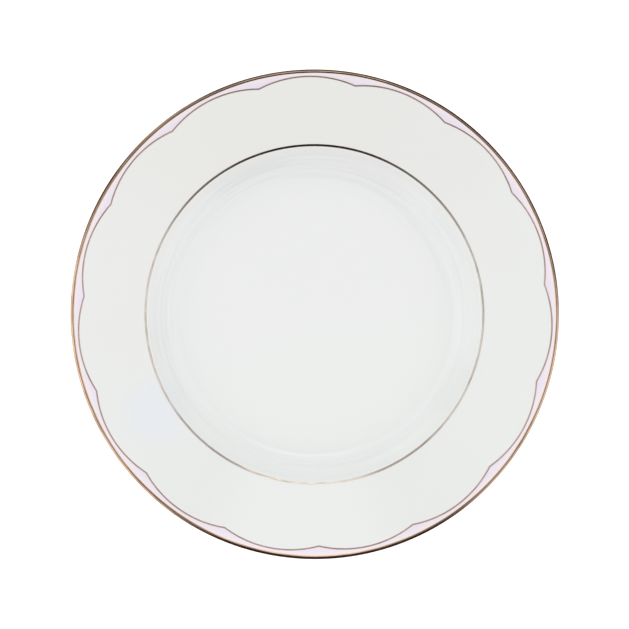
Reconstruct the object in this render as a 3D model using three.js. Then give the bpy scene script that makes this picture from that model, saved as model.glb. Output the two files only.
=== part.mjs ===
// A round china dinner plate, in millimetres: +Z up, standing on its foot ring, with the origin on the
// plate's axis in the plane of the table. The clay body is one piece. Over its glaze lie four fired-on
// pieces of decoration: a gold band round the lip, a lilac border with a scalloped inner edge, a gold line
// along the scallops, and a gold line round the verge, where the rim turns down into the well.

import * as THREE from "three";

// The whole plate, with its gilding.
const PLATE_RADIUS = 135;
const PLATE_HEIGHT = 25;

// The decoration: each film is a thin solid that stands a hair clear of the glaze.
const FILM_THICKNESS = 0.15;
const FILM_GAP = 0.05;
const FILM_STAND = FILM_GAP + FILM_THICKNESS;
const NEIGHBOUR_GAP = 0.1;

// The rim and its half-round lip.
const BODY_RADIUS = PLATE_RADIUS - FILM_STAND;
const BODY_HEIGHT = PLATE_HEIGHT - FILM_STAND;
const LIP_THICKNESS = 2.65;
const LIP_ROUND = 1.25;
const RIM_SLOPE = THREE.MathUtils.degToRad(10.5);
const RIM_UNDERSIDE_SLOPE = THREE.MathUtils.degToRad(12.6);

// The well and the shoulder round it.
const VERGE_RADIUS = 91.8;
const VERGE_ROUND = 3;
const WELL_RADIUS = 80.3;
const WELL_HEIGHT = 7.6;
const WELL_ROUND = 11;
const WALL_THICKNESS = 4.3;
const KNEE_ROUND = 7;

// The foot ring and the hollow inside it.
const FOOT_TOP_RADIUS = 83.6;
const FOOT_TOP_ROUND = 2;
const FOOT_OUTER_RADIUS = 82.6;
const FOOT_INNER_RADIUS = 79.2;
const FOOT_EDGE_ROUND = 0.8;
const HOLLOW_RADIUS = 77.8;
const HOLLOW_HEIGHT = 3.4;
const HOLLOW_ROUND = 2.5;

// The gold band round the lip.
const EDGE_BAND_INNER_RADIUS = 132.9;
const EDGE_BAND_UNDERSIDE_RADIUS = 133.1;

// The scallops: fifteen equal arcs, whose circles are centred on a ring round the plate's axis.
const LOBES = 15;
const LOBE_CENTRE_RADIUS = 70.1;
const LOBE_RADIUS = 60.9;
const FIRST_CORNER_DEG = 7.5;
const SCALLOP_LINE_WIDTH = 0.8;

// The border is laid by hand as a transfer, which stretches it a little on one side of the rim.
const TRANSFER_DRIFT_DEG = 0.7;
const TRANSFER_DRIFT_FROM_DEG = 13;

// The gold line round the verge.
const VERGE_LINE_RADIUS = 93.4;
const VERGE_LINE_WIDTH = 1.2;
const VERGE_LINE_STEPS = 2;

// How finely round shapes are cut.
const CHORD_TOLERANCE = 0.08;
const TURNS = 96;
const STEPS_PER_LOBE = 8;

// The height where the rim's upper face, carried on outwards, meets the outermost radius of the clay.
const LIP_CORNER_HEIGHT =
  BODY_HEIGHT + LIP_ROUND * (Math.tan(RIM_SLOPE) + 1 / Math.cos(RIM_SLOPE) - 1);

// The height of the rim's upper face at a radius.
function rimHeight(radius) {
  return LIP_CORNER_HEIGHT - (BODY_RADIUS - radius) * Math.tan(RIM_SLOPE);
}

// The height of the rim's lower face at a radius.
function rimUndersideHeight(radius) {
  return LIP_CORNER_HEIGHT - LIP_THICKNESS - (BODY_RADIUS - radius) * Math.tan(RIM_UNDERSIDE_SLOPE);
}

const SHOULDER_SLOPE = Math.atan2(rimHeight(VERGE_RADIUS) - WELL_HEIGHT, VERGE_RADIUS - WELL_RADIUS);

// The height of the shoulder's lower face at a radius: one wall thickness from its upper face.
function shoulderUndersideHeight(radius) {
  const upper = WELL_HEIGHT + (radius - WELL_RADIUS) * Math.tan(SHOULDER_SLOPE);
  return upper - WALL_THICKNESS / Math.cos(SHOULDER_SLOPE);
}

// The radius where the shoulder's lower face meets the rim's.
const KNEE_RADIUS =
  (rimUndersideHeight(0) - shoulderUndersideHeight(0)) /
  (Math.tan(SHOULDER_SLOPE) - Math.tan(RIM_UNDERSIDE_SLOPE));

// The points of a chain of straight lines, where each corner [radius, height, round] becomes an arc.
function roundedChain(corners) {
  const places = corners.map(([radius, height]) => new THREE.Vector2(radius, height));
  const points = [];
  corners.forEach(([, , round = 0], index) => {
    const corner = places[index];
    if (round === 0) {
      points.push(corner);
      return;
    }
    const before = places[index - 1].clone().sub(corner).normalize();
    const after = places[index + 1].clone().sub(corner).normalize();
    const halfAngle = Math.acos(before.dot(after)) / 2;
    const toCentre = before.clone().add(after).setLength(round / Math.sin(halfAngle));
    const centre = corner.clone().add(toCentre);
    const start = before.setLength(round / Math.tan(halfAngle)).sub(toCentre);
    const end = after.setLength(round / Math.tan(halfAngle)).sub(toCentre);
    const sweep = Math.atan2(start.cross(end), start.dot(end));
    const steps = Math.ceil(Math.abs(sweep) / (2 * Math.acos(1 - CHORD_TOLERANCE / round)));
    for (let step = 0; step <= steps; step += 1) {
      const turn = (sweep * step) / steps;
      points.push(start.clone().rotateAround(new THREE.Vector2(), turn).add(centre));
    }
  });
  return points;
}

// The lower face of the body, from the axis out to the lip.
const lowerCorners = [
  [0, HOLLOW_HEIGHT],
  [HOLLOW_RADIUS, HOLLOW_HEIGHT, HOLLOW_ROUND],
  [FOOT_INNER_RADIUS, 0, FOOT_EDGE_ROUND],
  [FOOT_OUTER_RADIUS, 0, FOOT_EDGE_ROUND],
  [FOOT_TOP_RADIUS, shoulderUndersideHeight(FOOT_TOP_RADIUS), FOOT_TOP_ROUND],
  [KNEE_RADIUS, rimUndersideHeight(KNEE_RADIUS), KNEE_ROUND],
  [BODY_RADIUS, rimUndersideHeight(BODY_RADIUS), LIP_ROUND],
];

// The upper face of the body, from the lip in to the axis.
const upperCorners = [
  [BODY_RADIUS, rimHeight(BODY_RADIUS), LIP_ROUND],
  [VERGE_RADIUS, rimHeight(VERGE_RADIUS), VERGE_ROUND],
  [WELL_RADIUS, WELL_HEIGHT, WELL_ROUND],
  [0, WELL_HEIGHT],
];

const upperFace = roundedChain([lowerCorners.at(-1).slice(0, 2), ...upperCorners]);

// The height of the body's upper face at a radius.
function upperHeight(radius) {
  const index = upperFace.findIndex((point) => point.x < radius);
  const [outer, inner] = [upperFace[index - 1], upperFace[index]];
  return THREE.MathUtils.mapLinear(radius, inner.x, outer.x, inner.y, outer.y);
}

// The section of a film's one face over the lip, at a distance from the clay, from below round to above.
function lipChain(distance) {
  const upper = distance / Math.cos(RIM_SLOPE);
  const lower = distance / Math.cos(RIM_UNDERSIDE_SLOPE);
  const radius = BODY_RADIUS + distance;
  return roundedChain([
    [EDGE_BAND_UNDERSIDE_RADIUS, rimUndersideHeight(EDGE_BAND_UNDERSIDE_RADIUS) - lower],
    [radius, rimUndersideHeight(radius) - lower, LIP_ROUND + distance],
    [radius, rimHeight(radius) + upper, LIP_ROUND + distance],
    [EDGE_BAND_INNER_RADIUS, rimHeight(EDGE_BAND_INNER_RADIUS) + upper],
  ]);
}

// A solid turned round the plate's axis from its section, which runs anticlockwise.
function turned(section, segments = TURNS) {
  return new THREE.LatheGeometry(section, segments).rotateX(Math.PI / 2);
}

// A closed section: its points, with the first one again at the end.
function closed(points) {
  return [...points, points[0].clone()];
}

// The radius of a line that runs along the scallops, an offset outside them, at a turn from a corner.
function scallopRadius(turn, offset) {
  const lobe = (2 * Math.PI) / LOBES;
  const fromCrest = THREE.MathUtils.euclideanModulo(turn, lobe) - lobe / 2;
  const across = LOBE_CENTRE_RADIUS * Math.sin(fromCrest);
  return LOBE_CENTRE_RADIUS * Math.cos(fromCrest) + Math.sqrt((LOBE_RADIUS + offset) ** 2 - across ** 2);
}

// The azimuth on the plate of a turn of the scallop pattern.
function borderAzimuth(turn) {
  const even = turn + THREE.MathUtils.degToRad(FIRST_CORNER_DEG);
  const drift = Math.sin(even - THREE.MathUtils.degToRad(TRANSFER_DRIFT_FROM_DEG));
  return even + THREE.MathUtils.degToRad(TRANSFER_DRIFT_DEG) * drift;
}

// A film on the rim between two outlines, each a function from a turn to a radius. It is turned as a plain
// ring of radii 1 and 2 and heights 0 and 1, and then each vertex goes to its place on the rim.
function borderFilm(innerOutline, outerOutline) {
  const section = [[1, 0], [2, 0], [2, 1], [1, 1]].map(([x, y]) => new THREE.Vector2(x, y));
  const steps = LOBES * STEPS_PER_LOBE;
  const geometry = turned(closed(section), steps);
  const place = new THREE.Vector3();
  const position = geometry.getAttribute("position");
  for (let index = 0; index < position.count; index += 1) {
    place.fromBufferAttribute(position, index);
    const outline = Math.hypot(place.x, place.y) > 1.5 ? outerOutline : innerOutline;
    const step = Math.round((Math.atan2(place.y, place.x) * steps) / (2 * Math.PI));
    const turn = (step * 2 * Math.PI) / steps;
    const radius = outline(turn);
    const height = upperHeight(radius) + FILM_GAP + place.z * FILM_THICKNESS;
    const azimuth = borderAzimuth(turn);
    position.setXYZ(index, radius * Math.cos(azimuth), radius * Math.sin(azimuth), height);
  }
  return geometry;
}

// The clay body: well, shoulder, rim and foot ring in one piece.
function porcelainBody() {
  return turned(roundedChain([...lowerCorners, ...upperCorners]));
}

// The gold band that wraps the lip.
function edgeGoldBand() {
  return turned(closed([...lipChain(FILM_STAND), ...lipChain(FILM_GAP).reverse()]));
}

// The lilac enamel between the gold line on the scallops and the gold band on the lip.
function lilacEnamelBorder() {
  const start = SCALLOP_LINE_WIDTH / 2 + NEIGHBOUR_GAP;
  const end = EDGE_BAND_INNER_RADIUS - NEIGHBOUR_GAP;
  return borderFilm((turn) => scallopRadius(turn, start), () => end);
}

// The gold line along the scallops.
function scallopedGoldLine() {
  const half = SCALLOP_LINE_WIDTH / 2;
  return borderFilm((turn) => scallopRadius(turn, -half), (turn) => scallopRadius(turn, half));
}

// The gold line that lies over the rounded verge.
function vergeGoldLine() {
  const section = [];
  for (let step = 0; step <= VERGE_LINE_STEPS; step += 1) {
    const radius = VERGE_LINE_RADIUS + VERGE_LINE_WIDTH * (step / VERGE_LINE_STEPS - 0.5);
    section.push(new THREE.Vector2(radius, upperHeight(radius) + FILM_GAP));
  }
  const above = section.map((point) => new THREE.Vector2(point.x, point.y + FILM_THICKNESS));
  return turned(closed([...section, ...above.reverse()]));
}

const glazedPorcelain = new THREE.MeshStandardMaterial({ color: 0xeaebe8, roughness: 0.12, metalness: 0 });
const antiqueGold = new THREE.MeshStandardMaterial({ color: 0xb08a63, roughness: 0.25, metalness: 1 });
const lilacEnamel = new THREE.MeshStandardMaterial({ color: 0xe6daea, roughness: 0.18, metalness: 0 });

const plate = new THREE.Group();

// Adds a named piece to the plate.
function addPiece(name, geometry, material) {
  const piece = new THREE.Mesh(geometry, material);
  piece.name = name;
  plate.add(piece);
}

addPiece("porcelain_body", porcelainBody(), glazedPorcelain);
addPiece("edge_gold_band", edgeGoldBand(), antiqueGold);
addPiece("lilac_enamel_border", lilacEnamelBorder(), lilacEnamel);
addPiece("scalloped_gold_line", scallopedGoldLine(), antiqueGold);
addPiece("verge_gold_line", vergeGoldLine(), antiqueGold);

export default plate;
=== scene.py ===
"""A china dinner plate with a scalloped lilac border and gold lines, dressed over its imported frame."""

import logging
import math
from bisect import bisect_right
from dataclasses import dataclass
from enum import Enum
from typing import Callable, NamedTuple, Sequence

import bmesh
import bpy
from bpy.types import Material, Node, NodeSocket, Object
from mathutils import Matrix, Vector


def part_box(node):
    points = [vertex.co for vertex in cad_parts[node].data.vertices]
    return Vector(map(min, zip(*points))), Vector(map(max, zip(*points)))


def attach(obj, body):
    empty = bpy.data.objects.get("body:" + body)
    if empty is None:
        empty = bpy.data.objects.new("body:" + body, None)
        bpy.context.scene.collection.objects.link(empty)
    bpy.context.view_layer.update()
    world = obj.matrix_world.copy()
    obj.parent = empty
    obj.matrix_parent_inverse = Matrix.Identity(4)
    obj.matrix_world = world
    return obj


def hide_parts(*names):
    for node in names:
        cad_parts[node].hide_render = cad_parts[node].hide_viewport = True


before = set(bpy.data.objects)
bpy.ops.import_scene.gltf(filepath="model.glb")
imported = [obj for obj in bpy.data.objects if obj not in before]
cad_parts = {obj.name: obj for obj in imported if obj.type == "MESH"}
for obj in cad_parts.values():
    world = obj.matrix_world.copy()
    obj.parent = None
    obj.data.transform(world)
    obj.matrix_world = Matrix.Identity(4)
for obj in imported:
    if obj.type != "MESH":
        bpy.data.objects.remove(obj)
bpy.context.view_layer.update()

MM = 0.001
ROOT_BODY = "root"
STEPS_ROUND = 360
ARC_STEP = math.radians(4.5)
LEAST_ARC_STEPS = 6
MERGE_DISTANCE = 0.0005 * MM
SHARP_ANGLE = math.radians(50.0)
LOG = logging.getLogger("china_plate")

Height = Callable[[float], float]
Colour = tuple[float, float, float]
Place = tuple[float, float, float]
Span = tuple[float, float]

UP: Place = (0.0, 0.0, 1.0)
ORIGIN: Place = (0.0, 0.0, 0.0)
WHITE: Colour = (1.0, 1.0, 1.0)
# What lays a place or a direction in the plane of the table, when it is multiplied by it.
LEVEL_PART: Place = (1.0, 1.0, 0.0)
# Where most values of a noise texture lie.
USUAL_NOISE: Span = (0.3, 0.7)


class CadNode(Enum):
    """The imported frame's nodes."""

    BODY = "porcelain_body"
    EDGE_BAND = "edge_gold_band"
    SCALLOP_LINE = "scalloped_gold_line"
    BORDER = "lilac_enamel_border"
    VERGE_LINE = "verge_gold_line"


class FinishSlot(Enum):
    """The record's material slots."""

    PORCELAIN = "glazed_porcelain"
    GOLD = "antique_gold"
    ENAMEL = "lilac_enamel"


class Corner(NamedTuple):
    """A corner of a section, in metres, and the radius that it is rounded to."""

    radius: float
    height: float
    round: float = 0.0


class TreeMaker:
    """A node tree, with short calls that add its nodes and link them."""

    def __init__(self, tree: bpy.types.NodeTree) -> None:
        """Takes up a tree.

        Args:
            tree: A material's or a world's node tree.
        """
        self.nodes = tree.nodes
        self.links = tree.links

    def node(self, kind: str, **settings: object) -> Node:
        """Adds a node.

        Args:
            kind: The node's type name.
            settings: Attributes to set on it.

        Returns:
            The new node.
        """
        made = self.nodes.new(kind)
        for name, value in settings.items():
            setattr(made, name, value)
        return made

    def feed(self, socket: NodeSocket, value: object) -> None:
        """Links a socket to another one, or sets it to a plain value.

        Args:
            socket: The input to fill.
            value: An output socket, a number or a vector.
        """
        if isinstance(value, NodeSocket):
            self.links.new(value, socket)
        else:
            socket.default_value = value

    def paint(self, socket: NodeSocket, colour: object) -> None:
        """Links a colour socket to another one, or sets it to an opaque colour."""
        self.feed(socket, colour if isinstance(colour, NodeSocket) else (*colour, 1.0))

    def vector(self, operation: str, *values: object) -> Node:
        """Adds a Vector Math node.

        Args:
            operation: The operation's name.
            values: What goes into its inputs, in order.

        Returns:
            The node.
        """
        made = self.node("ShaderNodeVectorMath", operation=operation)
        for socket, value in zip(made.inputs, values):
            self.feed(socket, value)
        return made

    def spread(
        self, value: NodeSocket, low: float, high: float, to_low: float = 0.0, to_high: float = 1.0
    ) -> NodeSocket:
        """Maps a value's range to another one, smoothly and clamped at both ends.

        Args:
            value: The value.
            low: Where its range starts.
            high: Where its range ends.
            to_low: What it becomes at the start.
            to_high: What it becomes at the end.

        Returns:
            The mapped value.
        """
        made = self.node("ShaderNodeMapRange", interpolation_type="SMOOTHSTEP")
        for socket, part in zip(made.inputs, (value, low, high, to_low, to_high)):
            self.feed(socket, part)
        return made.outputs["Result"]

    def blend(self, factor: NodeSocket, first: object, second: object) -> NodeSocket:
        """Mixes two colours.

        Args:
            factor: How much of the second colour there is.
            first: A colour or a colour socket.
            second: A colour or a colour socket.

        Returns:
            The mixed colour.
        """
        made = self.node("ShaderNodeMix", data_type="RGBA")
        self.feed(made.inputs["Factor"], factor)
        colours = [socket for socket in made.inputs if socket.type == "RGBA"]
        for socket, colour in zip(colours, (first, second)):
            self.paint(socket, colour)
        return next(socket for socket in made.outputs if socket.type == "RGBA")


class ShaderTree(TreeMaker):
    """A material's node tree, round a Principled shader."""

    def __init__(self, name: str) -> None:
        """Starts a material with a Principled shader.

        Args:
            name: The material's name.
        """
        self.material = bpy.data.materials.new(name)
        self.material.use_nodes = True
        super().__init__(self.material.node_tree)
        self.shader = self.nodes["Principled BSDF"]
        self.place = self.node("ShaderNodeTexCoord").outputs["Object"]

    def math(self, operation: str, *values: object) -> NodeSocket:
        """Adds a Math node.

        Args:
            operation: The operation's name.
            values: What goes into its inputs, in order.

        Returns:
            The result.
        """
        made = self.node("ShaderNodeMath", operation=operation)
        for socket, value in zip(made.inputs, values):
            self.feed(socket, value)
        return made.outputs[0]

    def level_place(self) -> NodeSocket:
        """Returns the place on the plate, laid down in the plane of the table."""
        return self.vector("MULTIPLY", self.place, LEVEL_PART).outputs["Vector"]

    def radius(self) -> NodeSocket:
        """Returns the distance from the plate's axis, in metres."""
        return self.vector("LENGTH", self.level_place()).outputs["Value"]

    def distance(self, place: Place) -> NodeSocket:
        """Returns the distance from a fixed place on the plate, in metres."""
        return self.vector("DISTANCE", self.place, place).outputs["Value"]

    def along_the_turn(self, round_scale: float, across_scale: float) -> NodeSocket:
        """Gives a coordinate that runs round the plate at one scale and across it at another.

        Args:
            round_scale: The steps that a texture takes in one radian of turn.
            across_scale: The steps that it takes in one metre across.

        Returns:
            A vector without a seam, for a noise texture.
        """
        turned = self.vector("SCALE", self.vector("NORMALIZE", self.level_place()).outputs["Vector"])
        turned.inputs["Scale"].default_value = round_scale
        parts = self.node("ShaderNodeSeparateXYZ")
        self.feed(parts.inputs[0], turned.outputs["Vector"])
        height = self.node("ShaderNodeSeparateXYZ")
        self.feed(height.inputs[0], self.place)
        reach = self.math("ADD", self.radius(), height.outputs["Z"])
        joined = self.node("ShaderNodeCombineXYZ")
        self.feed(joined.inputs["X"], parts.outputs["X"])
        self.feed(joined.inputs["Y"], parts.outputs["Y"])
        self.feed(joined.inputs["Z"], self.math("MULTIPLY", reach, across_scale))
        return joined.outputs["Vector"]

    def noise(self, vector: NodeSocket, scale: float = 1.0, detail: float = 2.0) -> NodeSocket:
        """Adds a noise texture.

        Args:
            vector: Where it is read.
            scale: Its scale.
            detail: How many finer layers it has.

        Returns:
            Its value, which lies around a half.
        """
        made = self.node("ShaderNodeTexNoise")
        self.feed(made.inputs["Vector"], vector)
        made.inputs["Scale"].default_value = scale
        made.inputs["Detail"].default_value = detail
        return made.outputs["Fac"]

    def bump(self, height: NodeSocket, depth: float, under: NodeSocket | None = None) -> NodeSocket:
        """Adds a bump to the surface.

        Args:
            height: A height from 0 to 1.
            depth: How high 1 is, in metres.
            under: The normal of a bump that this one lies on.

        Returns:
            The new normal.
        """
        made = self.node("ShaderNodeBump")
        made.inputs["Distance"].default_value = depth
        self.feed(made.inputs["Height"], height)
        if under is not None:
            self.feed(made.inputs["Normal"], under)
        return made.outputs["Normal"]

    def specks(self, cells: float, share: float, core: float, edge: float) -> NodeSocket:
        """Adds small round specks scattered at random.

        Args:
            cells: How many cells there are in a metre, each with room for one speck.
            share: The share of the cells that hold a speck.
            core: The radius of a speck's full part, as a share of a cell.
            edge: The radius at which it has faded out, as a share of a cell.

        Returns:
            1 inside a speck and 0 outside.
        """
        made = self.node("ShaderNodeTexVoronoi")
        self.feed(made.inputs["Vector"], self.place)
        made.inputs["Scale"].default_value = cells
        chosen = self.math("LESS_THAN", made.outputs["Color"], share)
        inside = self.spread(made.outputs["Distance"], core, edge, 1.0, 0.0)
        return self.math("MULTIPLY", chosen, inside)

    def coat(self, roughness: float, ior: float, surface: NodeSocket) -> None:
        """Lays a clear glaze over the colour, which alone gives the gloss.

        Args:
            roughness: The glaze's roughness.
            ior: Its index of refraction.
            surface: The normal of its surface.
        """
        inputs = self.shader.inputs
        inputs["Specular IOR Level"].default_value = 0.0
        inputs["Coat Weight"].default_value = 1.0
        inputs["Coat Roughness"].default_value = roughness
        inputs["Coat IOR"].default_value = ior
        self.feed(inputs["Coat Normal"], surface)


@dataclass(frozen=True)
class PorcelainGlaze:
    """Clear glaze over fine ivory-white clay."""

    ivory: Colour = (0.866, 0.860, 0.840)
    cool: Colour = (0.857, 0.867, 0.854)
    # Painted tint of the light: the clay runs from ivory near a place above the top of the rim to cool away
    # from it.
    warm_light_place: Place = (-25.0 * MM, 118.0 * MM, 22.0 * MM)
    drift_radii: Span = (70.0 * MM, 175.0 * MM)
    drift_swing: float = 30.0 * MM
    drift_scale: float = 9.0
    drift_noise: Span = (0.35, 0.65)
    # Painted reflection of the light overhead: the well's colours are lighter than the rim's, fading in
    # across the shoulder.
    lit_well_warm: Colour = (0.897, 0.901, 0.898)
    lit_well_green: Colour = (0.902, 0.916, 0.902)
    well_edge_radii: Span = (87.0 * MM, 93.0 * MM)
    ringed: Colour = (0.820, 0.841, 0.842)
    ring_radii: Span = (66.0 * MM, 84.0 * MM)
    ring_scales: Span = (1.3, 330.0)
    ring_noise: Span = (0.42, 0.62)
    ring_share: float = 0.55
    ring_fade: Span = (0.3, 1.0)
    least_rings: float = 0.45
    # Painted reflection of a bluish light: a soft blue patch on the rim at the lower left.
    painted_blue_reflection: Colour = (0.833, 0.852, 0.885)
    blue_reflection_place: Place = (-88.0 * MM, -53.5 * MM, 19.0 * MM)
    blue_reflection_radii: Span = (6.0 * MM, 25.0 * MM)
    speck: Colour = (0.55, 0.50, 0.44)
    speck_cells: float = 95.0
    speck_share: float = 0.02
    speck_radii: Span = (0.015, 0.03)
    speck_strength: float = 0.35
    clay_roughness: float = 0.45
    roughness_swing: float = 0.08
    roughness_scale: float = 60.0
    glaze_roughness: float = 0.035
    glaze_ior: float = 1.43
    ripple_scale: float = 70.0
    ripple_depth: float = 0.006 * MM
    ring_depth: float = 0.0012 * MM
    ring_pitch: float = 3.1 * MM

    def rings(self, tree: ShaderTree, drift: NodeSocket) -> NodeSocket:
        """Gives how strongly the turning rings show in the colour.

        Args:
            tree: The material's tree.
            drift: The drift from warm to cool, along which they fade.

        Returns:
            Their share.
        """
        noise = tree.noise(tree.along_the_turn(*self.ring_scales), detail=3.0)
        streaks = tree.spread(noise, *self.ring_noise, 0.0, self.ring_share)
        shown = tree.math("MULTIPLY", streaks, tree.spread(tree.radius(), *self.ring_radii))
        return tree.math("MULTIPLY", shown, tree.spread(drift, *self.ring_fade, 1.0, self.least_rings))

    def colour(self, tree: ShaderTree) -> NodeSocket:
        """Gives the colour of the clay under its glaze.

        Args:
            tree: The material's tree.

        Returns:
            A drift from warm to cool, a painted tint of the light that is warmest towards the top of the
            rim;
            lighter in the well, a painted reflection of the light overhead; rings on the shoulder, a
            painted blue reflection on the rim, and a few specks.
        """
        # Painted tint of the light: warmer towards a place above the top of the rim, cooler away from it.
        noise = tree.noise(tree.place, self.drift_scale, detail=3.0)
        uneven = tree.spread(noise, *self.drift_noise, -self.drift_swing, self.drift_swing)
        away = tree.math("ADD", tree.distance(self.warm_light_place), uneven)
        drift = tree.spread(away, *self.drift_radii)
        rim = tree.blend(drift, self.ivory, self.cool)
        # Painted reflection of the light overhead: the well is lighter than the rim.
        well = tree.blend(drift, self.lit_well_warm, self.lit_well_green)
        in_well = tree.spread(tree.radius(), *self.well_edge_radii, 1.0, 0.0)
        rings = tree.math("MULTIPLY", self.rings(tree, drift), in_well)
        plain = tree.blend(rings, tree.blend(in_well, rim, well), self.ringed)
        # Painted reflection: a soft blue patch on the rim at the lower left.
        blue_reflection_share = tree.spread(tree.distance(self.blue_reflection_place), *self.blue_reflection_radii, 1.0, 0.0)
        clay = tree.blend(blue_reflection_share, plain, self.painted_blue_reflection)
        scattered = tree.specks(self.speck_cells, self.speck_share, *self.speck_radii)
        return tree.blend(tree.math("MULTIPLY", scattered, self.speck_strength), clay, self.speck)

    def surface(self, tree: ShaderTree) -> NodeSocket:
        """Gives the glaze's surface.

        Args:
            tree: The material's tree.

        Returns:
            A normal with shallow turning rings, and ripples over them.
        """
        turns = tree.math("MULTIPLY", tree.radius(), 2.0 * math.pi / self.ring_pitch)
        rings = tree.spread(tree.math("SINE", turns), -1.0, 1.0)
        ripples = tree.noise(tree.place, self.ripple_scale)
        return tree.bump(ripples, self.ripple_depth, tree.bump(rings, self.ring_depth))

    def material(self) -> Material:
        """Makes the glazed clay.

        Returns:
            The finished material.
        """
        tree = ShaderTree("Glazed porcelain")
        tree.feed(tree.shader.inputs["Base Color"], self.colour(tree))
        noise = tree.noise(tree.place, self.roughness_scale)
        roughest = self.clay_roughness + self.roughness_swing
        roughness = tree.spread(noise, *USUAL_NOISE, self.clay_roughness, roughest)
        tree.feed(tree.shader.inputs["Roughness"], roughness)
        tree.coat(self.glaze_roughness, self.glaze_ior, self.surface(tree))
        return tree.material


@dataclass(frozen=True)
class BareClay:
    """Unglazed fired clay, where the glaze is wiped off the foot ring."""

    clay: Colour = (0.80, 0.775, 0.72)
    stain: Colour = (0.60, 0.55, 0.48)
    stain_scale: float = 160.0
    stain_noise: Span = (0.5, 0.8)
    stain_share: float = 0.6
    roughness: float = 0.85
    grain_scale: float = 2500.0
    grain_depth: float = 0.02 * MM

    def material(self) -> Material:
        """Makes the bare clay: a fine dry grain, slightly stained.

        Returns:
            The finished material.
        """
        tree = ShaderTree("Bare clay")
        noise = tree.noise(tree.place, self.stain_scale, detail=4.0)
        stains = tree.spread(noise, *self.stain_noise, 0.0, self.stain_share)
        tree.feed(tree.shader.inputs["Base Color"], tree.blend(stains, self.clay, self.stain))
        tree.shader.inputs["Roughness"].default_value = self.roughness
        grain = tree.bump(tree.noise(tree.place, self.grain_scale, detail=3.0), self.grain_depth)
        tree.feed(tree.shader.inputs["Normal"], grain)
        return tree.material


@dataclass(frozen=True)
class AntiqueGold:
    """Burnished gold laid on with a brush and fired, worn a little thin here and there."""

    name: str
    leaf: Colour
    dull: Colour
    roughness: float = 0.1
    roughness_swing: float = 0.1
    streak_scales: Span = (14.0, 2600.0)
    patch_scales: Span = (4.0, 300.0)
    wear: Span = (0.2, 0.36)
    brush_depth: float = 0.003 * MM

    def material(self) -> Material:
        """Makes the gold: brush streaks along the turn, in its colour, its gloss and its surface.

        Returns:
            The finished material.
        """
        tree = ShaderTree(self.name)
        streaks = tree.noise(tree.along_the_turn(*self.streak_scales), detail=3.0)
        patches = tree.noise(tree.along_the_turn(*self.patch_scales))
        wear = tree.spread(tree.math("MULTIPLY", streaks, patches), *self.wear)
        tree.feed(tree.shader.inputs["Base Color"], tree.blend(wear, self.leaf, self.dull))
        tree.shader.inputs["Metallic"].default_value = 1.0
        roughest = self.roughness + self.roughness_swing
        roughness = tree.spread(streaks, *USUAL_NOISE, self.roughness, roughest)
        tree.feed(tree.shader.inputs["Roughness"], roughness)
        tree.feed(tree.shader.inputs["Normal"], tree.bump(streaks, self.brush_depth))
        return tree.material


BAND_GOLD = AntiqueGold("Band gold", leaf=(0.79, 0.54, 0.39), dull=(0.6, 0.375, 0.25))
SCALLOP_GOLD = AntiqueGold(
    "Scallop gold", leaf=(0.78, 0.56, 0.47), dull=(0.6, 0.41, 0.34), roughness=0.36
)
VERGE_GOLD = AntiqueGold("Verge gold", leaf=(0.75, 0.675, 0.60), dull=(0.57, 0.5, 0.43))


@dataclass(frozen=True)
class LilacEnamel:
    """Pale lilac enamel fired over the glaze, with a painted pale pink halo towards the lip, next to the
    gold band.
    """

    lilac: Colour = (0.875, 0.80, 0.918)
    halo_pink: Colour = (0.92, 0.845, 0.88)
    halo_radii: Span = (129.6 * MM, 131.9 * MM)
    halo_swing: float = 0.5 * MM
    halo_scale: float = 140.0
    roughness: float = 0.3
    glaze_roughness: float = 0.06
    glaze_ior: float = 1.5
    pool_scale: float = 260.0
    pool_depth: float = 0.008 * MM

    def material(self) -> Material:
        """Makes the enamel: lilac in the points between the scallops, lighter and pinker towards the gold
        band as a painted halo, its surface slightly pooled.

        Returns:
            The finished material.
        """
        tree = ShaderTree("Lilac enamel")
        # Painted halo: the enamel turns lighter and pinker just inside the gold band.
        noise = tree.noise(tree.place, self.halo_scale, detail=3.0)
        uneven = tree.spread(noise, *USUAL_NOISE, -self.halo_swing, self.halo_swing)
        edge = tree.math("ADD", tree.radius(), uneven)
        halo = tree.spread(edge, *self.halo_radii)
        tree.feed(tree.shader.inputs["Base Color"], tree.blend(halo, self.lilac, self.halo_pink))
        tree.shader.inputs["Roughness"].default_value = self.roughness
        pools = tree.bump(tree.noise(tree.place, self.pool_scale), self.pool_depth)
        tree.coat(self.glaze_roughness, self.glaze_ior, pools)
        return tree.material


@dataclass(frozen=True)
class PaleTable:
    """The plain white surface that the plate stands on."""

    white: Colour = (0.9, 0.9, 0.9)
    glow: float = 0.6

    def material(self) -> Material:
        """Makes the surface: matt white, with a little light of its own, as a lit table has.

        Returns:
            The finished material.
        """
        tree = ShaderTree("Pale table")
        tree.paint(tree.shader.inputs["Base Color"], self.white)
        tree.shader.inputs["Roughness"].default_value = 1.0
        tree.shader.inputs["Specular IOR Level"].default_value = 0.0
        tree.paint(tree.shader.inputs["Emission Color"], WHITE)
        tree.shader.inputs["Emission Strength"].default_value = self.glow
        return tree.material


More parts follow.
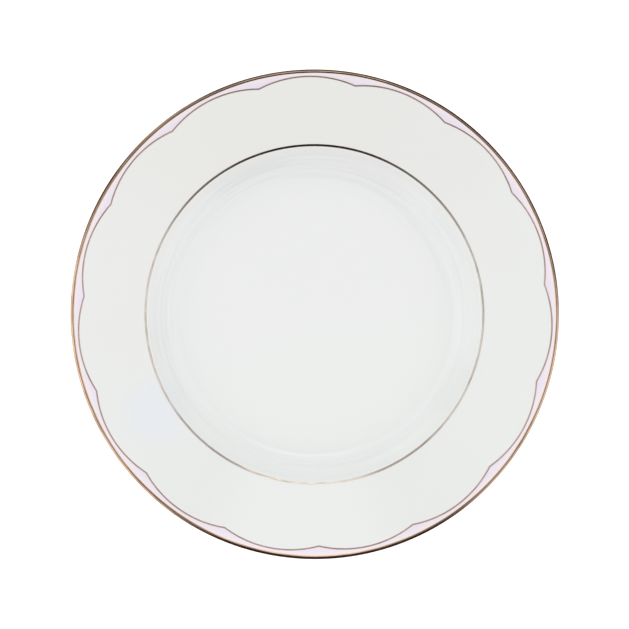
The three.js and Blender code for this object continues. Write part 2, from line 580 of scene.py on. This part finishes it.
def lay_wire(form: bmesh.types.BMesh, corners: Sequence[Corner], closed: bool = False) -> None:
    """Lays a section in the XZ plane as a wire, and rounds its corners.

    Args:
        form: The mesh that takes the wire.
        corners: The section's corners, in order.
        closed: Whether the last corner joins the first.
    """
    verts = [form.verts.new((corner.radius, 0.0, corner.height)) for corner in corners]
    for start, end in zip(verts, verts[1:]):
        form.edges.new((start, end))
    if closed:
        form.edges.new((verts[-1], verts[0]))
    for index, (vert, corner) in enumerate(zip(verts, corners)):
        if not corner.round:
            continue
        here = Vector((corner.radius, corner.height))
        before = here - Vector(corners[index - 1][:2])
        after = Vector(corners[(index + 1) % len(corners)][:2]) - here
        turn = abs(before.angle_signed(after))
        bmesh.ops.bevel(
            form,
            geom=[vert],
            offset=corner.round * math.tan(turn / 2.0),
            offset_type="OFFSET",
            segments=max(LEAST_ARC_STEPS, math.ceil(turn / ARC_STEP)),
            profile=0.5,
            affect="VERTICES",
            material=-1,
        )


def cut_long_edges(form: bmesh.types.BMesh, longest: float) -> None:
    """Cuts a wire's edges so that none is longer than a length.

    Args:
        form: The mesh that holds the wire.
        longest: The greatest length of an edge, in metres.
    """
    for edge in list(form.edges):
        cuts = math.ceil(edge.calc_length() / longest) - 1
        if cuts > 0:
            bmesh.ops.subdivide_edges(form, edges=[edge], cuts=cuts)


def turn_round(form: bmesh.types.BMesh) -> None:
    """Spins a section all the way round the plate's axis into a closed skin.

    Args:
        form: The mesh that holds the section's wire.
    """
    bmesh.ops.spin(
        form,
        geom=form.verts[:] + form.edges[:],
        cent=ORIGIN,
        axis=UP,
        dvec=ORIGIN,
        angle=2.0 * math.pi,
        steps=STEPS_ROUND,
        use_merge=True,
        use_duplicate=False,
    )
    bmesh.ops.remove_doubles(form, verts=form.verts[:], dist=MERGE_DISTANCE)
    bmesh.ops.recalc_face_normals(form, faces=form.faces[:])


def make_piece(form: bmesh.types.BMesh, name: str) -> Object:
    """Turns a finished mesh into an object in the scene, smooth-shaded up to its sharp edges.

    Args:
        form: The mesh, which is freed.
        name: The piece's name.

    Returns:
        The new object.
    """
    mesh = bpy.data.meshes.new(name)
    for face in form.faces:
        face.smooth = True
    for edge in form.edges:
        edge.smooth = edge.calc_face_angle(0.0) < SHARP_ANGLE
    form.to_mesh(mesh)
    form.free()
    piece = bpy.data.objects.new(name, mesh)
    bpy.context.scene.collection.objects.link(piece)
    return piece


def level_shading(piece: Object) -> None:
    """Weights a piece's normals by face, so that its broad plain faces shade true beside small rounds.

    Args:
        piece: The piece.
    """
    weighted = piece.modifiers.new("Level shading", "WEIGHTED_NORMAL")
    weighted.mode = "FACE_AREA"
    weighted.weight = 50


@dataclass(frozen=True)
class PlateSection:
    """The clay body's section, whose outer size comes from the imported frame."""

    body_radius: float
    body_height: float
    lip_thickness: float = 2.65 * MM
    lip_round: float = 1.25 * MM
    rim_slope: float = math.radians(10.5)
    rim_underside_slope: float = math.radians(12.6)
    verge_radius: float = 91.8 * MM
    verge_round: float = 3.0 * MM
    well_radius: float = 80.3 * MM
    well_height: float = 7.6 * MM
    well_round: float = 11.0 * MM
    wall_thickness: float = 4.3 * MM
    knee_round: float = 7.0 * MM
    foot_top_radius: float = 83.6 * MM
    foot_top_round: float = 2.0 * MM
    foot_outer_radius: float = 82.6 * MM
    foot_inner_radius: float = 79.2 * MM
    foot_edge_round: float = 0.8 * MM
    hollow_radius: float = 77.8 * MM
    hollow_height: float = 3.4 * MM
    hollow_round: float = 2.5 * MM

    @classmethod
    def from_frame(cls) -> "PlateSection":
        """Takes the body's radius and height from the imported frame."""
        _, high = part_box(CadNode.BODY.value)
        return cls(body_radius=high.x, body_height=high.z)

    def rim_height(self, radius: float) -> float:
        """Gives the height of the rim's upper face, carried on as a plain cone.

        Args:
            radius: The distance from the axis.

        Returns:
            The height.
        """
        slope = self.rim_slope
        corner = self.body_height + self.lip_round * (math.tan(slope) + 1.0 / math.cos(slope) - 1.0)
        return corner - (self.body_radius - radius) * math.tan(slope)

    def rim_underside(self, radius: float) -> float:
        """Gives the height of the rim's lower face.

        Args:
            radius: The distance from the axis.

        Returns:
            The height.
        """
        corner = self.rim_height(self.body_radius) - self.lip_thickness
        return corner - (self.body_radius - radius) * math.tan(self.rim_underside_slope)

    @property
    def shoulder_slope(self) -> float:
        """The slope of the shoulder between the well and the verge."""
        rise = self.rim_height(self.verge_radius) - self.well_height
        return math.atan2(rise, self.verge_radius - self.well_radius)

    def shoulder_underside(self, radius: float) -> float:
        """Gives the height of the shoulder's lower face, one wall thickness from the upper one.

        Args:
            radius: The distance from the axis.

        Returns:
            The height.
        """
        upper = self.well_height + (radius - self.well_radius) * math.tan(self.shoulder_slope)
        return upper - self.wall_thickness / math.cos(self.shoulder_slope)

    def lower_corners(self) -> list[Corner]:
        """Returns the corners of the lower face, from the axis out to the lip."""
        slopes = math.tan(self.shoulder_slope) - math.tan(self.rim_underside_slope)
        knee = (self.rim_underside(0.0) - self.shoulder_underside(0.0)) / slopes
        return [
            Corner(0.0, self.hollow_height),
            Corner(self.hollow_radius, self.hollow_height, self.hollow_round),
            Corner(self.foot_inner_radius, 0.0, self.foot_edge_round),
            Corner(self.foot_outer_radius, 0.0, self.foot_edge_round),
            Corner(
                self.foot_top_radius, self.shoulder_underside(self.foot_top_radius), self.foot_top_round
            ),
            Corner(knee, self.rim_underside(knee), self.knee_round),
            Corner(self.body_radius, self.rim_underside(self.body_radius), self.lip_round),
        ]

    def upper_corners(self) -> list[Corner]:
        """Returns the corners of the upper face, from the lip in to the axis."""
        return [
            Corner(self.body_radius, self.rim_height(self.body_radius), self.lip_round),
            Corner(self.verge_radius, self.rim_height(self.verge_radius), self.verge_round),
            Corner(self.well_radius, self.well_height, self.well_round),
            Corner(0.0, self.well_height),
        ]

    def lip_corners(self, distance: float, start: float, end: float) -> list[Corner]:
        """Gives the section of a film's one face over the lip.

        Args:
            distance: How far the face lies outside the clay; a sunk face has less than 0.
            start: The radius that it starts from, under the rim.
            end: The radius that it ends at, on the rim.

        Returns:
            Its corners, from below round to above.
        """
        lower = distance / math.cos(self.rim_underside_slope)
        upper = distance / math.cos(self.rim_slope)
        outer = self.body_radius + distance
        return [
            Corner(start, self.rim_underside(start) - lower),
            Corner(outer, self.rim_underside(outer) - lower, self.lip_round + distance),
            Corner(outer, self.rim_height(outer) + upper, self.lip_round + distance),
            Corner(end, self.rim_height(end) + upper),
        ]

    def upper_height(self) -> Height:
        """Measures the finished upper face, with its rounds.

        Returns:
            A function from a radius to the face's height there.
        """
        form = bmesh.new()
        lay_wire(form, self.upper_corners())
        points = sorted((vert.co.x, vert.co.z) for vert in form.verts)
        form.free()
        radii = [radius for radius, _ in points]

        def height(radius: float) -> float:
            """Returns the height at a radius, between the two nearest points of the section."""
            index = min(max(bisect_right(radii, radius), 1), len(points) - 1)
            (inner, low), (outer, high) = points[index - 1], points[index]
            return low + (high - low) * (radius - inner) / (outer - inner)

        return height


@dataclass(frozen=True)
class Rail:
    """A circle whose arc runs along one edge of a film, repeated with every scallop."""

    centre: float
    radius: float

    def half_arc(self, half_lobe: float) -> float:
        """Gives half the arc that crosses one lobe, about the circle's own centre.

        Args:
            half_lobe: Half the turn of a lobe, about the plate's axis.

        Returns:
            The angle.
        """
        return half_lobe + math.asin(self.centre * math.sin(half_lobe) / self.radius)

    def distance(self, from_crest: float) -> float:
        """Gives the arc's distance from the plate's axis.

        Args:
            from_crest: The turn from the middle of the lobe.

        Returns:
            The distance.
        """
        across = self.centre * math.sin(from_crest)
        return self.centre * math.cos(from_crest) + math.sqrt(self.radius**2 - across**2)

    def lay(self, form: bmesh.types.BMesh, half_lobe: float, steps: int) -> None:
        """Lays the arc across one lobe, in the plane of the table, about the X axis.

        Args:
            form: The mesh that takes it.
            half_lobe: Half the turn of a lobe.
            steps: How many edges the arc has.
        """
        centre = Vector((self.centre, 0.0, 0.0))
        half_arc = self.half_arc(half_lobe)
        arm = Matrix.Rotation(-half_arc, 3, "Z") @ Vector((self.radius, 0.0, 0.0))
        start = form.verts.new(centre + arm)
        bmesh.ops.spin(
            form,
            geom=[start],
            cent=centre,
            axis=UP,
            dvec=ORIGIN,
            angle=2.0 * half_arc,
            steps=steps,
            use_merge=False,
            use_duplicate=False,
        )


@dataclass(frozen=True)
class ScallopPattern:
    """Fifteen equal arcs round the rim, and the slight stretch of a border laid by hand."""

    lobes: int = 15
    steps_per_lobe: int = 24
    centre_radius: float = 70.1 * MM
    lobe_radius: float = 60.9 * MM
    first_corner: float = math.radians(7.5)
    drift: float = math.radians(0.7)
    drift_from: float = math.radians(13.0)

    @property
    def half_lobe(self) -> float:
        """Half the turn that one lobe takes."""
        return math.pi / self.lobes

    def rail(self, offset: float) -> Rail:
        """Returns the rail that runs an offset outside the scallops."""
        return Rail(self.centre_radius, self.lobe_radius + offset)

    def from_crest(self, turn: float) -> float:
        """Returns a turn measured from the middle of the lobe that it falls in."""
        lobe = 2.0 * self.half_lobe
        return (turn + self.half_lobe) % lobe - self.half_lobe

    def azimuth(self, turn: float) -> float:
        """Gives the place on the plate of a turn of the even pattern.

        Args:
            turn: The turn, from the middle of the first lobe.

        Returns:
            Its azimuth from +X.
        """
        even = turn + self.first_corner + self.half_lobe
        return even + self.drift * math.sin(even - self.drift_from)


@dataclass(frozen=True)
class Film:
    """A thin fired film that lies on the plate's upper face, between two rails."""

    pattern: ScallopPattern
    height: Height
    inner: Rail
    outer: Rail
    stand: float
    sink: float = 0.05 * MM
    crown: float = 0.0
    cuts: int = 3

    def lay_lobe(self, form: bmesh.types.BMesh) -> None:
        """Fills the stretch of one lobe between the rails, and cuts it along its length."""
        for rail in (self.inner, self.outer):
            rail.lay(form, self.pattern.half_lobe, self.pattern.steps_per_lobe)
        along = form.edges[:]
        bmesh.ops.bridge_loops(form, edges=along)
        kept = set(along)
        across = [edge for edge in form.edges if edge not in kept]
        bmesh.ops.subdivide_edges(form, edges=across, cuts=self.cuts, use_grid_fill=True)

    def settle(self, form: bmesh.types.BMesh) -> None:
        """Moves each point of the flat ring to its place on the plate, crowned between the rails."""
        for vert in form.verts:
            turn = math.atan2(vert.co.y, vert.co.x)
            radius = math.hypot(vert.co.x, vert.co.y)
            from_crest = self.pattern.from_crest(turn)
            low, high = self.inner.distance(from_crest), self.outer.distance(from_crest)
            share = 2.0 * (radius - low) / (high - low) - 1.0
            azimuth = self.pattern.azimuth(turn)
            level = self.height(radius) + self.stand + self.crown * (1.0 - share**2)
            vert.co = (radius * math.cos(azimuth), radius * math.sin(azimuth), level)

    def build(self, name: str) -> Object:
        """Makes the film as a closed solid.

        Args:
            name: The piece's name.

        Returns:
            The piece.
        """
        form = bmesh.new()
        self.lay_lobe(form)
        lobe = 2.0 * self.pattern.half_lobe
        bmesh.ops.spin(
            form,
            geom=form.verts[:] + form.edges[:] + form.faces[:],
            cent=ORIGIN,
            axis=UP,
            dvec=ORIGIN,
            angle=2.0 * math.pi - lobe,
            steps=self.pattern.lobes - 1,
            use_merge=False,
            use_duplicate=True,
        )
        bmesh.ops.remove_doubles(form, verts=form.verts[:], dist=MERGE_DISTANCE)
        self.settle(form)
        made = bmesh.ops.extrude_face_region(form, geom=form.faces[:])
        lower = [part for part in made["geom"] if isinstance(part, bmesh.types.BMVert)]
        bmesh.ops.translate(form, verts=lower, vec=(0.0, 0.0, -self.stand - self.sink))
        bmesh.ops.recalc_face_normals(form, faces=form.faces[:])
        return make_piece(form, name)


def dress(piece: Object, node: CadNode, slot: FinishSlot, *finishes: Material) -> None:
    """Gives a piece its finishes and its place in the frame.

    Args:
        piece: The finished piece.
        node: The CAD node that it stands for.
        slot: The record's slot for its finish; not used.
        finishes: Its materials, in the order of its faces' slots.
    """
    for finish in finishes:
        piece.data.materials.append(finish)
    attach(piece, ROOT_BODY)
    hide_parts(node.value)
    LOG.info("%s: %d faces, stands for %s", piece.name, len(piece.data.polygons), node.value)


@dataclass(frozen=True)
class ClayBody:
    """The pressed clay body: well, shoulder, rim and foot ring in one piece."""

    section: PlateSection
    longest_edge: float = 6.0 * MM
    bare_height: float = 0.35 * MM

    def build(self) -> Object:
        """Turns the body from its section, and marks the foot ring's bare band.

        Returns:
            The piece.
        """
        form = bmesh.new()
        lay_wire(form, self.section.lower_corners() + self.section.upper_corners())
        cut_long_edges(form, self.longest_edge)
        turn_round(form)
        for face in form.faces:
            face.material_index = int(all(vert.co.z < self.bare_height for vert in face.verts))
        piece = make_piece(form, "clay_body")
        level_shading(piece)
        return piece

    def dress(self, piece: Object) -> None:
        """Glazes the body and leaves the foot ring's edge bare."""
        glaze, bare = PorcelainGlaze().material(), BareClay().material()
        dress(piece, CadNode.BODY, FinishSlot.PORCELAIN, glaze, bare)


@dataclass(frozen=True)
class LipBand:
    """The gold band that wraps the lip."""

    section: PlateSection
    inner_radius: float = 132.9 * MM
    underside_radius: float = 133.1 * MM
    stand: float = 0.06 * MM
    sink: float = 0.05 * MM
    edge_round: float = 0.04 * MM

    def build(self) -> Object:
        """Turns the band from a closed section that wraps the lip.

        Returns:
            The piece.
        """
        outside = self.section.lip_corners(self.stand, self.underside_radius, self.inner_radius)
        inside = self.section.lip_corners(-self.sink, self.underside_radius, self.inner_radius)
        first, *middle, last = outside
        soft = [first._replace(round=self.edge_round), *middle, last._replace(round=self.edge_round)]
        form = bmesh.new()
        lay_wire(form, soft + inside[::-1], closed=True)
        turn_round(form)
        piece = make_piece(form, "lip_gold_band")
        level_shading(piece)
        return piece

    def dress(self, piece: Object, gold: Material) -> None:
        """Gilds the band."""
        dress(piece, CadNode.EDGE_BAND, FinishSlot.GOLD, gold)


@dataclass(frozen=True)
class RimDecoration:
    """The lilac border and the two thin gold lines, which lie on the plate's upper face."""

    section: PlateSection
    pattern: ScallopPattern
    lip_band: LipBand
    scallop_width: float = 0.8 * MM
    verge_radius: float = 93.4 * MM
    verge_width: float = 1.2 * MM
    gold_stand: float = 0.05 * MM
    scallop_crown: float = 0.035 * MM
    verge_crown: float = 0.005 * MM
    enamel_stand: float = 0.03 * MM
    enamel_under_band: float = 0.5 * MM

    def border(self) -> Object:
        """Makes the lilac border, whose edges run under the gold on both sides."""
        film = Film(
            pattern=self.pattern,
            height=self.section.upper_height(),
            inner=self.pattern.rail(0.0),
            outer=Rail(0.0, self.lip_band.inner_radius + self.enamel_under_band),
            stand=self.enamel_stand,
        )
        return film.build("lilac_border")

    def scallop_line(self) -> Object:
        """Makes the gold line along the scallops."""
        half = self.scallop_width / 2.0
        rails = self.pattern.rail(-half), self.pattern.rail(half)
        return self.gold_line(*rails, self.scallop_crown, "scallop_gold_line")

    def verge_line(self) -> Object:
        """Makes the gold line round the verge."""
        half = self.verge_width / 2.0
        rails = Rail(0.0, self.verge_radius - half), Rail(0.0, self.verge_radius + half)
        return self.gold_line(*rails, self.verge_crown, "verge_gold_ring")

    def gold_line(self, inner: Rail, outer: Rail, crown: float, name: str) -> Object:
        """Makes a thin gold line with a low crown.

        Args:
            inner: The rail along its inner edge.
            outer: The rail along its outer edge.
            crown: How far its middle stands above its edges.
            name: The piece's name.

        Returns:
            The piece.
        """
        film = Film(
            pattern=self.pattern,
            height=self.section.upper_height(),
            inner=inner,
            outer=outer,
            stand=self.gold_stand,
            crown=crown,
        )
        return film.build(name)

    def dress(self, border: Object, scallop_line: Object, verge_line: Object) -> None:
        """Enamels the border and gilds the two lines."""
        dress(border, CadNode.BORDER, FinishSlot.ENAMEL, LilacEnamel().material())
        dress(scallop_line, CadNode.SCALLOP_LINE, FinishSlot.GOLD, SCALLOP_GOLD.material())
        dress(verge_line, CadNode.VERGE_LINE, FinishSlot.GOLD, VERGE_GOLD.material())


@dataclass(frozen=True)
class Softbox:
    """A studio light that points at the plate and isn't seen itself, with its angles in degrees."""

    name: str
    azimuth: float
    elevation: float
    width: float
    height: float
    power: float
    distance: float = 1.6
    tint: Colour = WHITE

    def hang(self) -> None:
        """Hangs the light, facing the middle of the table."""
        light = bpy.data.lights.new(self.name, "AREA")
        light.shape = "RECTANGLE"
        light.size = self.width
        light.size_y = self.height
        light.energy = self.power
        light.color = self.tint
        lamp = bpy.data.objects.new(self.name, light)
        turn, rise = math.radians(self.azimuth), math.radians(self.elevation)
        level = math.cos(rise)
        away = Vector((level * math.cos(turn), level * math.sin(turn), math.sin(rise)))
        lamp.location = away * self.distance
        lamp.rotation_euler = away.to_track_quat("Z", "Y").to_euler()
        lamp.visible_camera = False
        bpy.context.scene.collection.objects.link(lamp)


def shine(strength: float, tint: Colour = WHITE) -> Colour:
    """Gives the colour of a light of a given strength and tint."""
    return tuple(strength * part for part in tint)


@dataclass(frozen=True)
class RoomSide:
    """A part of the room that is brighter or darker than the rest.

    It shows in full up to its core's angle from its azimuth, and has faded out at its edge's. The
    angles are in degrees.
    """

    azimuth: float
    core: float
    edge: float
    strength: float
    tint: Colour = WHITE


class WorldTree(TreeMaker):
    """The world's node tree, which can show each kind of ray a light of its own."""

    def __init__(self) -> None:
        """Starts an empty world and makes it the scene's."""
        world = bpy.data.worlds.new("Studio")
        world.use_nodes = True
        bpy.context.scene.world = world
        super().__init__(world.node_tree)
        self.output = self.nodes["World Output"].inputs["Surface"]
        self.nodes.remove(self.nodes["Background"])
        self.rays = self.node("ShaderNodeLightPath").outputs
        self.sight = self.node("ShaderNodeTexCoord").outputs["Generated"]
        self.height = self.vector("DOT_PRODUCT", self.sight, UP).outputs["Value"]

    def background(self, strength: float, colour: object = WHITE) -> NodeSocket:
        """Adds a background of a given strength and colour."""
        made = self.node("ShaderNodeBackground")
        self.paint(made.inputs["Color"], colour)
        self.feed(made.inputs["Strength"], strength)
        return made.outputs[0]

    def swap(self, kind_of_ray: str, other: NodeSocket, own: NodeSocket) -> NodeSocket:
        """Shows one kind of ray a background of its own.

        Args:
            kind_of_ray: The Light Path output's name.
            other: What the other rays see.
            own: What this kind sees.

        Returns:
            The joined background.
        """
        made = self.node("ShaderNodeMixShader")
        for socket, source in zip(made.inputs, (self.rays[kind_of_ray], other, own)):
            self.feed(socket, source)
        return made.outputs[0]


@dataclass(frozen=True)
class RoomBand:
    """A level of the room, all the way round."""

    strength: float
    tint: Colour
    sides: tuple[RoomSide, ...]

    def reflection(self, tree: WorldTree, level: NodeSocket) -> NodeSocket:
        """Gives the light that shows at this level in each direction round.

        Args:
            tree: The world's tree.
            level: The direction of sight, level and of length one.

        Returns:
            Its colour.
        """
        shown: object = shine(self.strength, self.tint)
        for side in self.sides:
            angle = math.radians(side.azimuth)
            middle = (math.cos(angle), math.sin(angle), 0.0)
            towards = tree.vector("DOT_PRODUCT", level, middle).outputs["Value"]
            edge, core = math.cos(math.radians(side.edge)), math.cos(math.radians(side.core))
            shown = tree.blend(tree.spread(towards, edge, core), shown, shine(side.strength, side.tint))
        return shown


@dataclass(frozen=True)
class Room:
    """The soft room round the table: even for the clay, and with sides for what reflects it.

    Each level fades into the next between its edge's two angles, in degrees from straight up.
    """

    even: float = 0.85
    even_low: float = 1.12
    from_below: float = 0.5
    horizon: Span = (-0.1, 0.1)
    backdrop: float = 1.0
    overhead: float = 0.1
    overhead_edge: Span = (15.5, 9.0)
    low_edge: Span = (34.5, 26.0)
    high: RoomBand = RoomBand(
        strength=0.45,
        tint=(1.0, 0.94, 0.9),
        sides=(
            RoomSide(azimuth=76.0, core=8.0, edge=26.0, strength=1.3),
            RoomSide(azimuth=40.0, core=6.0, edge=16.0, strength=0.42, tint=(0.85, 0.9, 1.0)),
            RoomSide(azimuth=170.0, core=34.0, edge=60.0, strength=0.96, tint=(0.97, 0.99, 1.0)),
            RoomSide(azimuth=358.0, core=28.0, edge=54.0, strength=0.94, tint=(0.96, 0.98, 1.0)),
            RoomSide(azimuth=283.0, core=38.0, edge=66.0, strength=0.24, tint=(1.0, 0.94, 0.9)),
            RoomSide(azimuth=283.0, core=22.0, edge=37.0, strength=0.02, tint=(1.0, 0.4, 0.2)),
        ),
    )
    low: RoomBand = RoomBand(
        strength=0.06,
        tint=(1.0, 0.58, 0.45),
        sides=(
            RoomSide(azimuth=80.0, core=10.0, edge=60.0, strength=0.05, tint=(1.0, 0.6, 0.5)),
            RoomSide(azimuth=126.0, core=5.0, edge=15.0, strength=0.5),
            RoomSide(azimuth=200.0, core=27.0, edge=51.0, strength=1.1, tint=(0.94, 0.98, 1.0)),
            RoomSide(azimuth=340.0, core=16.0, edge=32.0, strength=0.9, tint=(0.95, 0.98, 1.0)),
            RoomSide(azimuth=272.0, core=14.0, edge=45.0, strength=0.04, tint=(1.0, 0.5, 0.35)),
        ),
    )

    def reflection(self, tree: WorldTree) -> NodeSocket:
        """Gives the light that a reflecting surface sees in each direction."""
        flat = tree.vector("MULTIPLY", tree.sight, LEVEL_PART).outputs["Vector"]
        level = tree.vector("NORMALIZE", flat).outputs["Vector"]
        low, high = self.low.reflection(tree, level), self.high.reflection(tree, level)
        start, end = (math.cos(math.radians(angle)) for angle in self.low_edge)
        sides = tree.blend(tree.spread(tree.height, start, end), low, high)
        start, end = (math.cos(math.radians(angle)) for angle in self.overhead_edge)
        return tree.blend(tree.spread(tree.height, start, end), sides, shine(self.overhead))

    def light(self) -> None:
        """Sets the world."""
        tree = WorldTree()
        above = tree.spread(tree.height, 0.0, 1.0, self.even_low, self.even)
        over = tree.spread(tree.height, *self.horizon)
        even = tree.background(1.0, tree.blend(over, shine(self.from_below), above))
        reflected = tree.swap("Is Glossy Ray", even, tree.background(1.0, self.reflection(tree)))
        seen = tree.swap("Is Camera Ray", reflected, tree.background(self.backdrop))
        tree.links.new(seen, tree.output)


@dataclass(frozen=True)
class Studio:
    """The white table, the soft light round it, and the camera that looks down on the plate."""

    table_radius: float = 7.0
    table_corners: int = 64
    table_depth: float = 0.1 * MM
    room: Room = Room()
    softboxes: tuple[Softbox, ...] = (
        Softbox(
            "Window", azimuth=90.0, elevation=36.0, width=1.0, height=0.8, power=0.8, tint=(0.82, 1.0, 0.98)
        ),
        Softbox("Left strip", azimuth=176.0, elevation=48.0, width=1.2, height=0.12, power=0.5),
        Softbox("Right strip", azimuth=4.0, elevation=50.0, width=1.2, height=0.12, power=0.5),
    )
    lens: float = 300.0
    frame_width: float = 346.1 * MM
    lean: float = math.radians(4.2)
    lean_towards: float = math.radians(198.7)
    aim: Place = (-0.68 * MM, -0.30 * MM, 24.8 * MM)
    top_of_frame: Place = (0.0, 1.0, 0.0)
    clip: Span = (0.01, 50.0)

    def set_table(self) -> None:
        """Lays the table under the foot ring."""
        form = bmesh.new()
        bmesh.ops.create_circle(form, cap_ends=True, segments=self.table_corners, radius=self.table_radius)
        bmesh.ops.translate(form, verts=form.verts[:], vec=(0.0, 0.0, -self.table_depth))
        table = make_piece(form, "table")
        table.data.materials.append(PaleTable().material())
        table.visible_glossy = False
        table.visible_diffuse = False

    def set_camera(self) -> None:
        """Hangs the camera above the plate, a little to the left of its axis."""
        data = bpy.data.cameras.new("Camera")
        data.lens = self.lens
        data.clip_start, data.clip_end = self.clip
        level = Vector((math.cos(self.lean_towards), math.sin(self.lean_towards), 0.0))
        back = level * math.sin(self.lean) + Vector((0.0, 0.0, math.cos(self.lean)))
        right = Vector(self.top_of_frame).cross(back).normalized()
        turned = Matrix((right, back.cross(right), back)).transposed()
        camera = bpy.data.objects.new("Camera", data)
        camera.location = Vector(self.aim) + back * (self.frame_width * self.lens / data.sensor_width)
        camera.rotation_euler = turned.to_euler()
        bpy.context.scene.collection.objects.link(camera)
        bpy.context.scene.camera = camera

    def prepare(self) -> None:
        """Sets the camera, the table and the light, and keeps white as plain white."""
        self.set_camera()
        self.set_table()
        self.room.light()
        for softbox in self.softboxes:
            softbox.hang()
        bpy.context.scene.view_settings.view_transform = "Standard"


def main() -> None:
    """Builds the plate piece by piece and reports each one."""
    Studio().prepare()
    section = PlateSection.from_frame()
    body = ClayBody(section)
    body.dress(body.build())

    lip_band = LipBand(section)
    lip_band.dress(lip_band.build(), BAND_GOLD.material())

    rim = RimDecoration(section, ScallopPattern(), lip_band)
    rim.dress(rim.border(), rim.scallop_line(), rim.verge_line())


if __name__ == "__main__":
    logging.basicConfig(level=logging.INFO)
    main()
